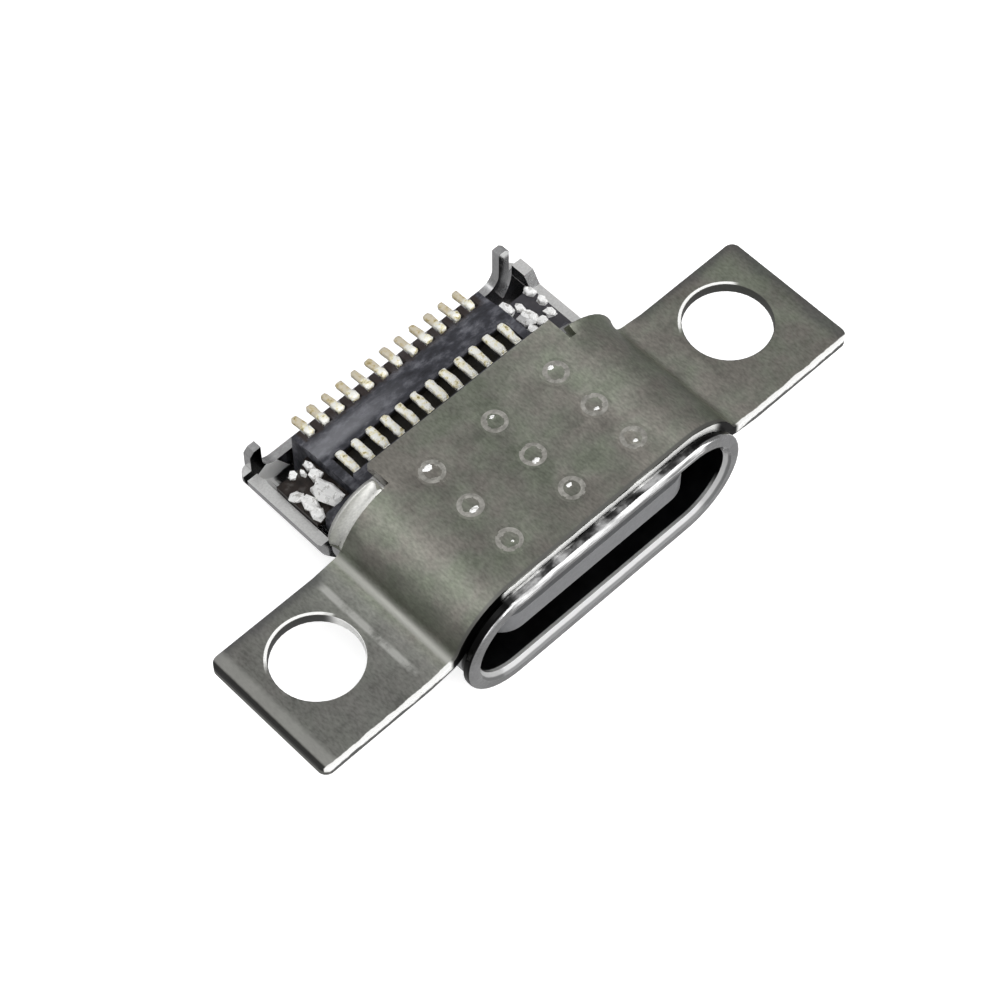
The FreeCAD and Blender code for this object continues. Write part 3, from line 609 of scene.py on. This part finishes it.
def solder_metal():
    """Return crumpled solder, painted near white as its painted highlight."""
    material, tree, output = new_material("solder_and_painted_highlight")
    crumple = noise_at(tree, 0.16, 3.0, 0.55)
    colour = ramp(tree, crumple, [(0.34, (0.55, 0.54, 0.52)), (0.46, (0.98, 0.98, 0.97))])
    roughness = ramp(tree, crumple, [(0.3, 0.2), (0.7, 0.4)])
    finish_shader(tree, output, colour, roughness, bump(tree, crumple, 0.03), 0.15)
    return material


def lug_shade_metal():
    """Return the lugs' painted black shade, with brown and paler traces, less dark on the right."""
    material, tree, output = new_material("lug_painted_shade")
    x, _, _ = place_mm(tree)
    traces = noise_at(tree, 0.3, 4.0, 0.6)
    # Painted shade: the lugs are painted near black
    colour = ramp(tree, traces, [(0.35, (0.008, 0.006, 0.005)), (0.55, (0.028, 0.02, 0.017)),
                                 (0.75, (0.10, 0.095, 0.09))])
    # Less painted shade on the right lug
    right_lug = rise(tree, x, 3.0, 3.4)
    colour = painted(tree, colour, right_lug, (0.085, 0.085, 0.10), 0.6)
    roughness = ramp(tree, traces, [(0.3, 0.35), (0.7, 0.6)])
    finish_shader(tree, output, colour, roughness, bump(tree, traces, 0.02), 0.3)
    return material


def pocket_tin_and_light_metal():
    """Return the rear corner's tinned metal, painted near white as painted light, with painted shade low
    down.
    """
    material, tree, output = new_material("shell_pocket_tin_and_painted_light")
    _, _, z = place_mm(tree)
    patches = noise_at(tree, 0.5, 3.0, 0.6)
    # Painted light: the pocket's metal is painted near white
    colour = ramp(tree, patches, [(0.3, (0.86, 0.86, 0.85)), (0.7, (0.98, 0.98, 0.97))])
    # Painted black shade low down in the pocket
    low = rise(tree, waved(tree, z, patches, 0.3), -1.02, -1.12)
    colour = painted(tree, colour, low, (0.01, 0.01, 0.01))
    roughness = ramp(tree, patches, [(0.3, 0.45), (0.7, 0.6)])
    finish_shader(tree, output, colour, roughness, bump(tree, patches, 0.01), 0.1)
    return material


def floor_material():
    """Return the pale floor: it keeps a soft shadow and looks white to the camera."""
    material, tree, output = new_material("pale_floor")
    path = tree.nodes.new("ShaderNodeLightPath")
    pale = add(tree, "ShaderNodeBsdfDiffuse", Color=FLOOR_COLOUR)
    glow = add(tree, "ShaderNodeEmission", Color=WHITE)
    strength = math_node(tree, "MULTIPLY", path.outputs["Is Camera Ray"], FLOOR_GLOW)
    tree.links.new(strength, glow.inputs["Strength"])
    both = tree.nodes.new("ShaderNodeAddShader")
    tree.links.new(pale.outputs[0], both.inputs[0])
    tree.links.new(glow.outputs[0], both.inputs[1])
    mirrored = add(tree, "ShaderNodeEmission", Color=WHITE, Strength=FLOOR_MIRRORED)
    last = tree.nodes.new("ShaderNodeMixShader")
    tree.links.new(path.outputs["Is Glossy Ray"], last.inputs[0])
    tree.links.new(both.outputs[0], last.inputs[1])
    tree.links.new(mirrored.outputs[0], last.inputs[2])
    tree.links.new(last.outputs[0], output.inputs["Surface"])
    return material


def set_world():
    """White to the camera and a soft grey room, brighter on the left, to everything else."""
    world = bpy.data.worlds.new("room")
    bpy.context.scene.world = world
    world.use_nodes = True
    tree = world.node_tree
    tree.nodes.clear()
    output = tree.nodes.new("ShaderNodeOutputWorld")
    seen = add(tree, "ShaderNodeBackground", Color=WHITE)
    room = tree.nodes.new("ShaderNodeBackground")
    place = tree.nodes.new("ShaderNodeTexCoord")
    parts = tree.nodes.new("ShaderNodeSeparateXYZ")
    tree.links.new(place.outputs["Generated"], parts.inputs[0])
    sideways = math_node(tree, "MULTIPLY", math_node(tree, "ADD", parts.outputs[0], 1.0), 0.5)
    tree.links.new(ramp(tree, sideways, ROOM_FROM_LEFT), room.inputs["Color"])
    path = tree.nodes.new("ShaderNodeLightPath")
    mixed = tree.nodes.new("ShaderNodeMixShader")
    tree.links.new(path.outputs["Is Camera Ray"], mixed.inputs[0])
    tree.links.new(room.outputs[0], mixed.inputs[1])
    tree.links.new(seen.outputs[0], mixed.inputs[2])
    tree.links.new(mixed.outputs[0], output.inputs["Surface"])


def place_camera():
    """Put the camera where the photo was taken from."""
    data = bpy.data.cameras.new("camera")
    camera = bpy.data.objects.new("camera", data)
    bpy.context.scene.collection.objects.link(camera)
    turn = math.radians(CAMERA_AZIMUTH_DEG)
    tilt = math.radians(CAMERA_ELEVATION_DEG)
    level = math.cos(tilt)
    back = Vector((math.sin(turn) * level, -math.cos(turn) * level, math.sin(tilt)))
    right = Vector((math.cos(turn), math.sin(turn), 0))
    up = back.cross(right)
    matrix = Matrix((right, up, back)).transposed().to_4x4()
    matrix.translation = Vector(CAMERA_AT_MM) * MM
    camera.matrix_world = matrix
    data.sensor_width = SENSOR_MM
    data.lens = FOCAL_PIXELS / IMAGE_PIXELS * SENSOR_MM
    data.clip_start = NEAREST_SEEN
    data.clip_end = FURTHEST_SEEN
    bpy.context.scene.camera = camera


def area_light(name, direction, width, height, radiance):
    """Add a soft box that faces the object from a direction."""
    data = bpy.data.lights.new(name, "AREA")
    data.shape = "RECTANGLE"
    data.size = width
    data.size_y = height
    data.energy = radiance * math.pi * width * height
    light = bpy.data.objects.new(name, data)
    bpy.context.scene.collection.objects.link(light)
    towards = Vector(direction).normalized()
    light.location = Vector(LAMP_TARGET) + towards * LAMP_DISTANCE
    light.rotation_euler = towards.to_track_quat("Z", "Y").to_euler()


def make_floor():
    """Lay the floor just under the shell."""
    mesh = bpy.data.meshes.new("floor")
    form = bmesh.new()
    bmesh.ops.create_grid(form, x_segments=2, y_segments=2, size=FLOOR_REACH)
    form.to_mesh(mesh)
    form.free()
    floor = bpy.data.objects.new("floor", mesh)
    bpy.context.scene.collection.objects.link(floor)
    floor.location.z = CAD_BOX[0][2] - FLOOR_GAP_MM * MM
    mesh.materials.append(floor_material())


def set_material(node, material):
    """Give a CAD node one material."""
    mesh = NODES[node].data
    mesh.materials.clear()
    mesh.materials.append(material)


def paint_faces(node, material, wanted):
    """Give a further material to the faces for which wanted(centre in mm, normal) is true."""
    mesh = NODES[node].data
    mesh.materials.append(material)
    last = len(mesh.materials) - 1
    for face in mesh.polygons:
        if wanted(face.center / MM, face.normal):
            face.material_index = last


def in_the_mouth(centre, _):
    """True for the shell's inner faces behind the lip."""
    spine = max(-SHOULDER_CENTRE_MM, min(SHOULDER_CENTRE_MM, centre.x))
    front, rear = MOUTH_DEPTHS_MM
    return math.hypot(centre.x - spine, centre.z) < MOUTH_RADIUS_MM and front < centre.y < rear


def in_rear_pocket(centre, normal):
    """True for the shell's inner faces at its left rear corner."""
    inward = normal.y < -0.5 or normal.z > 0.5
    return inward and centre.y > 6.9 and -4.2 < centre.x < -2.5 and centre.z < -0.45


def on_wall_top(centre, normal):
    """True for the top faces of the side walls."""
    near_top = abs(centre.z - WALL_TOP_MM) < 0.45
    return normal.z > 0.8 and near_top and abs(centre.x) > 4.2 and centre.y > 5


def soften(node, width_mm, segments=2, angle_deg=35, merge_flats=True):
    """Round a CAD node's sharp edges; merge_flats first joins the triangles of flat faces."""
    piece = NODES[node]
    piece.data.polygons.foreach_set("use_smooth", [True] * len(piece.data.polygons))
    weld = piece.modifiers.new("weld", "WELD")
    weld.merge_threshold = 1e-7
    if merge_flats:
        merge = piece.modifiers.new("merge_flats", "DECIMATE")
        merge.decimate_type = "DISSOLVE"
        merge.angle_limit = math.radians(0.5)
        merge.delimit = {"MATERIAL"}
    bevel = piece.modifiers.new("rounding", "BEVEL")
    bevel.width = width_mm * MM
    bevel.segments = segments
    bevel.limit_method = "ANGLE"
    bevel.angle_limit = math.radians(angle_deg)
    bevel.use_clamp_overlap = True
    even = piece.modifiers.new("even_shading", "WEIGHTED_NORMAL")
    even.keep_sharp = False


def add_piece(name, vertices, faces, material, smooth=True):
    """Add a piece from points in millimetres; it rides on the part."""
    mesh = bpy.data.meshes.new(name)
    mesh.from_pydata([Vector(point) * MM for point in vertices], [], faces)
    mesh.polygons.foreach_set("use_smooth", [smooth] * len(mesh.polygons))
    mesh.materials.append(material)
    mesh.update()
    piece = bpy.data.objects.new(name, mesh)
    bpy.context.scene.collection.objects.link(piece)
    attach(piece, "root")
    return piece


def tube(rings):
    """Return points and faces of a closed tube through rings of equal size."""
    count = len(rings[0])
    vertices = [point for ring in rings for point in ring]
    faces = []
    for step in range(len(rings) - 1):
        base = step * count
        for index in range(count):
            after = (index + 1) % count
            faces.append((base + index, base + after, base + count + after, base + count + index))
    faces.append(tuple(reversed(range(count))))
    last = (len(rings) - 1) * count
    faces.append(tuple(last + index for index in range(count)))
    return vertices, faces


def tinned_foot(name, x, sections, luck):
    """Add the tinned end of one contact; sections are (y, z, half width, half height)."""
    rings = []
    for y, z, wide, high in sections:
        wide *= luck.uniform(0.78, 1.15)
        high *= luck.uniform(0.8, 1.2)
        sway = luck.uniform(-0.02, 0.02)
        ring = []
        for step in range(FOOT_SIDES):
            turn = math.radians(360 / FOOT_SIDES * (step + 0.5))
            across = math.copysign(abs(math.cos(turn)) ** FOOT_SQUARENESS, math.cos(turn))
            upward = math.copysign(abs(math.sin(turn)) ** FOOT_SQUARENESS, math.sin(turn))
            ring.append((x + sway + wide * across, y, z + high * upward))
        rings.append(ring)
    vertices, faces = tube(rings)
    add_piece(name, vertices, faces, GOLD)


def add_feet():
    """Add the tinned ends of both rows of contacts."""
    luck = random.Random(11)
    start, end, z = NEAR_FOOT_MM
    length = end - start
    near = [(start, z - 0.02, 0.06, 0.03), (start + 0.05, z, 0.10, 0.06)]
    near += [(start + length * part, z + 0.005, 0.118, 0.068) for part in (0.25, 0.45, 0.65, 0.85)]
    near += [(end - 0.03, z, 0.10, 0.06), (end, z - 0.01, 0.06, 0.03)]
    bend_start, bend_end, bend_z = FAR_BEND_MM
    foot_start, foot_end, foot_z = FAR_FOOT_MM
    far = [
        (bend_start, bend_z - 0.05, 0.07, 0.04),
        (bend_start + 0.04, bend_z, 0.115, 0.075),
        (bend_end, bend_z, 0.125, 0.085),
        (bend_end + 0.06, bend_z - 0.02, 0.10, 0.06),
        (foot_start, foot_z + 0.01, 0.105, 0.06),
        (foot_end - 0.1, foot_z - 0.01, 0.11, 0.065),
        (foot_end - 0.02, foot_z - 0.015, 0.09, 0.055),
        (foot_end, foot_z - 0.02, 0.05, 0.03),
    ]
    for index in range(CONTACTS_IN_ROW):
        x = (index - (CONTACTS_IN_ROW - 1) / 2) * CONTACT_PITCH_MM
        tinned_foot(f"near_foot_{index + 1:02d}", x, near, luck)
        tinned_foot(f"far_foot_{index + 1:02d}", x, far, luck)


def add_flake(name, x, y, length, width, height, turn, luck, node):
    """Add one crumpled flake of solder, which stands with the others for a solder node."""
    rings = []
    lean = luck.uniform(-0.25, 0.25)
    for level, spread in FLAKE_LEVELS:
        ring = []
        for step in range(FLAKE_SIDES):
            angle = math.tau * step / FLAKE_SIDES
            reach = spread * luck.uniform(0.72, 1.2)
            across = 0.5 * width * math.cos(angle) * reach
            along = 0.5 * length * math.sin(angle) * reach
            px = across * math.cos(turn) - along * math.sin(turn)
            py = across * math.sin(turn) + along * math.cos(turn)
            swell = 1 + luck.uniform(-0.12, 0.12)
            pz = LUG_TOP_MM + height * level * swell + lean * across * level
            if level == 0.0:
                pz = LUG_TOP_MM - 0.01
            ring.append((x + px, y + py, pz))
        rings.append(ring)
    vertices, faces = tube(rings)
    piece = add_piece(name, vertices, faces, SOLDER_AND_HIGHLIGHT, smooth=False)
    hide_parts(node)


def circle(radius):
    """Return the points (x, y) of a circle round a weld's middle."""
    turns = [math.tau * step / WELD_SECTORS for step in range(WELD_SECTORS)]
    return [(radius * math.cos(turn), radius * math.sin(turn)) for turn in turns]


def add_weld(name, x, y, bead):
    """Add one spot weld: a low soft rim, a shallow dish and a frozen bead off its middle, painted white
    as a glint.
    """
    bead_x, bead_y, bead_size = bead
    root_radius, root_level = WELD_ROOT_MM
    rings = [[(x + px, y + py, PLATE_TOP_MM + root_level) for px, py in circle(root_radius)]]
    for radius, level in WELD_PROFILE_MM:
        ring = []
        for px, py in circle(radius):
            rough = noise.noise(Vector((px * 7 + x * 5, py * 7 + y * 5, 1.7))) * WELD_ROUGHNESS_MM
            if radius > WELD_SMOOTH_FROM_MM:
                rough = 0.0
            off_bead = ((px - bead_x) / BEAD_STRETCH) ** 2 + (py - bead_y) ** 2
            swell = BEAD_HEIGHT_MM * math.exp(-(off_bead / (2 * bead_size ** 2)))
            ring.append((x + px, y + py, PLATE_TOP_MM + level + rough + swell))
        rings.append(ring)
    vertices, faces = tube(rings)
    mesh = add_piece(name, vertices, faces, BRACKET).data
    mesh.materials.append(WELD)
    mesh.materials.append(SOLDER_AND_HIGHLIGHT)
    inner_rim, outer_rim = WELD_RIM_MM
    for number, face in enumerate(mesh.polygons):
        px = face.center.x / MM - x
        py = face.center.y / MM - y
        on_top = number >= WELD_SECTORS
        face.use_smooth = on_top
        uneven = 0.05 * noise.noise(Vector((px * 6 + x, py * 6 + y, 0.3)))
        if on_top and inner_rim + uneven < math.hypot(px, py) < outer_rim + 0.6 * uneven:
            face.material_index = 1
        # Painted glint: the bead's faces take the white solder
        if on_top and math.hypot((px - bead_x) / BEAD_STRETCH, py - bead_y) < bead_size + 0.6 * uneven:
            face.material_index = 2


def add_flare(name, side):
    """Add the curled rear lip of one shoulder, drawn out furthest in the middle of its arc."""
    rings = []
    low, high = FLARE_SPAN_DEG
    full_curl = 1 - math.cos(math.radians(CURL_DEG))
    for step in range(FLARE_STEPS + 1):
        part = step / FLARE_STEPS
        angle = math.radians(low + (high - low) * part)
        rise_mm = FLARE_RISE_MM * math.sin(math.pi * part) ** FLARE_FULLNESS
        outer = []
        inner = []
        for curl in CURL_STEPS:
            bend = math.radians(CURL_DEG * curl)
            out = rise_mm * (1 - math.cos(bend)) / full_curl
            y = SHOULDER_REAR_MM - 0.02 + CURL_LENGTH_MM * math.sin(bend)
            outer.append((out + 0.004, y))
            inner.append((out - CURL_INSIDE_MM, y + CURL_SLANT_MM * curl))
        ring = []
        for out, y in outer + inner[::-1]:
            radius = PLATE_TOP_MM + out
            x = side * (SHOULDER_CENTRE_MM + radius * math.cos(angle))
            ring.append((x, y, radius * math.sin(angle)))
        rings.append(ring)
    vertices, faces = tube(rings)
    add_piece(name, vertices, faces, FLARE_PAINTED_LIGHT)


place_camera()
set_world()
make_floor()
for lamp in LAMPS:
    area_light(*lamp)
# The fill lights the part and isn't mirrored in its metal
bpy.data.objects["overhead_fill"].visible_glossy = False

BRACKET = bracket_metal()
SHEARED_AND_HIGHLIGHT = cut_edge_metal()
SHELL = shell_metal()
MOUTH_SHADE = mouth_metal()
PLATE = satin_metal("plate_steel", (0.5, 0.5, 0.5), (0.66, 0.66, 0.66), 0.35)
WELD = satin_metal("spot_weld_steel", (0.42, 0.41, 0.37), (0.85, 0.83, 0.77), 0.4, 0.2, 0.06, 0.002)
# The curled lip is the bracket's steel painted paler, as painted light
FLARE_PAINTED_LIGHT = satin_metal("flared_lip_steel_painted_light", (0.58, 0.58, 0.56), (0.80, 0.80, 0.77), 0.56)
PLASTIC = housing_plastic()
GOLD = contact_metal()
SOLDER_AND_HIGHLIGHT = solder_metal()
LUG_SHADE = lug_shade_metal()
POCKET_TIN_AND_LIGHT = pocket_tin_and_light_metal()

set_material("mounting_bracket", BRACKET)
soften("mounting_bracket", 0.09, segments=3, angle_deg=40, merge_flats=False)
set_material("shell", SHELL)
# The mouth's inner faces get painted shade
paint_faces("shell", MOUTH_SHADE, in_the_mouth)
paint_faces("shell", POCKET_TIN_AND_LIGHT, in_rear_pocket)
# The side walls' tops are painted pale, as a painted highlight
paint_faces("shell", SHEARED_AND_HIGHLIGHT, on_wall_top)
set_material("housing", PLASTIC)
soften("housing", 0.03)
set_material("midplate", LUG_SHADE)
for node in ("upper_ground_plate", "lower_ground_plate"):
    set_material(node, PLATE)
for node in NODES:
    if "contact" in node:
        set_material(node, GOLD)
        soften(node, 0.03)

add_feet()
LUCK = random.Random(5)
for number, flake in enumerate(LEFT_FLAKES, 1):
    add_flake(f"left_flake_{number}", *flake, LUCK, "left_solder")
for number, flake in enumerate(RIGHT_FLAKES, 1):
    add_flake(f"right_flake_{number}", *flake, LUCK, "right_solder")
for number, bead in enumerate(WELD_BEAD_GLINTS_MM):
    row, column = divmod(number, 3)
    weld_x = (column - 1) * WELD_PITCH_MM[0]
    weld_y = WELD_FIRST_MM + row * WELD_PITCH_MM[1]
    add_weld(f"spot_weld_{row + 1}_{column + 1}", weld_x, weld_y, bead)
add_flare("left_flared_lip", -1)

bpy.context.scene.view_settings.view_transform = "Standard"
bpy.context.view_layer.update()
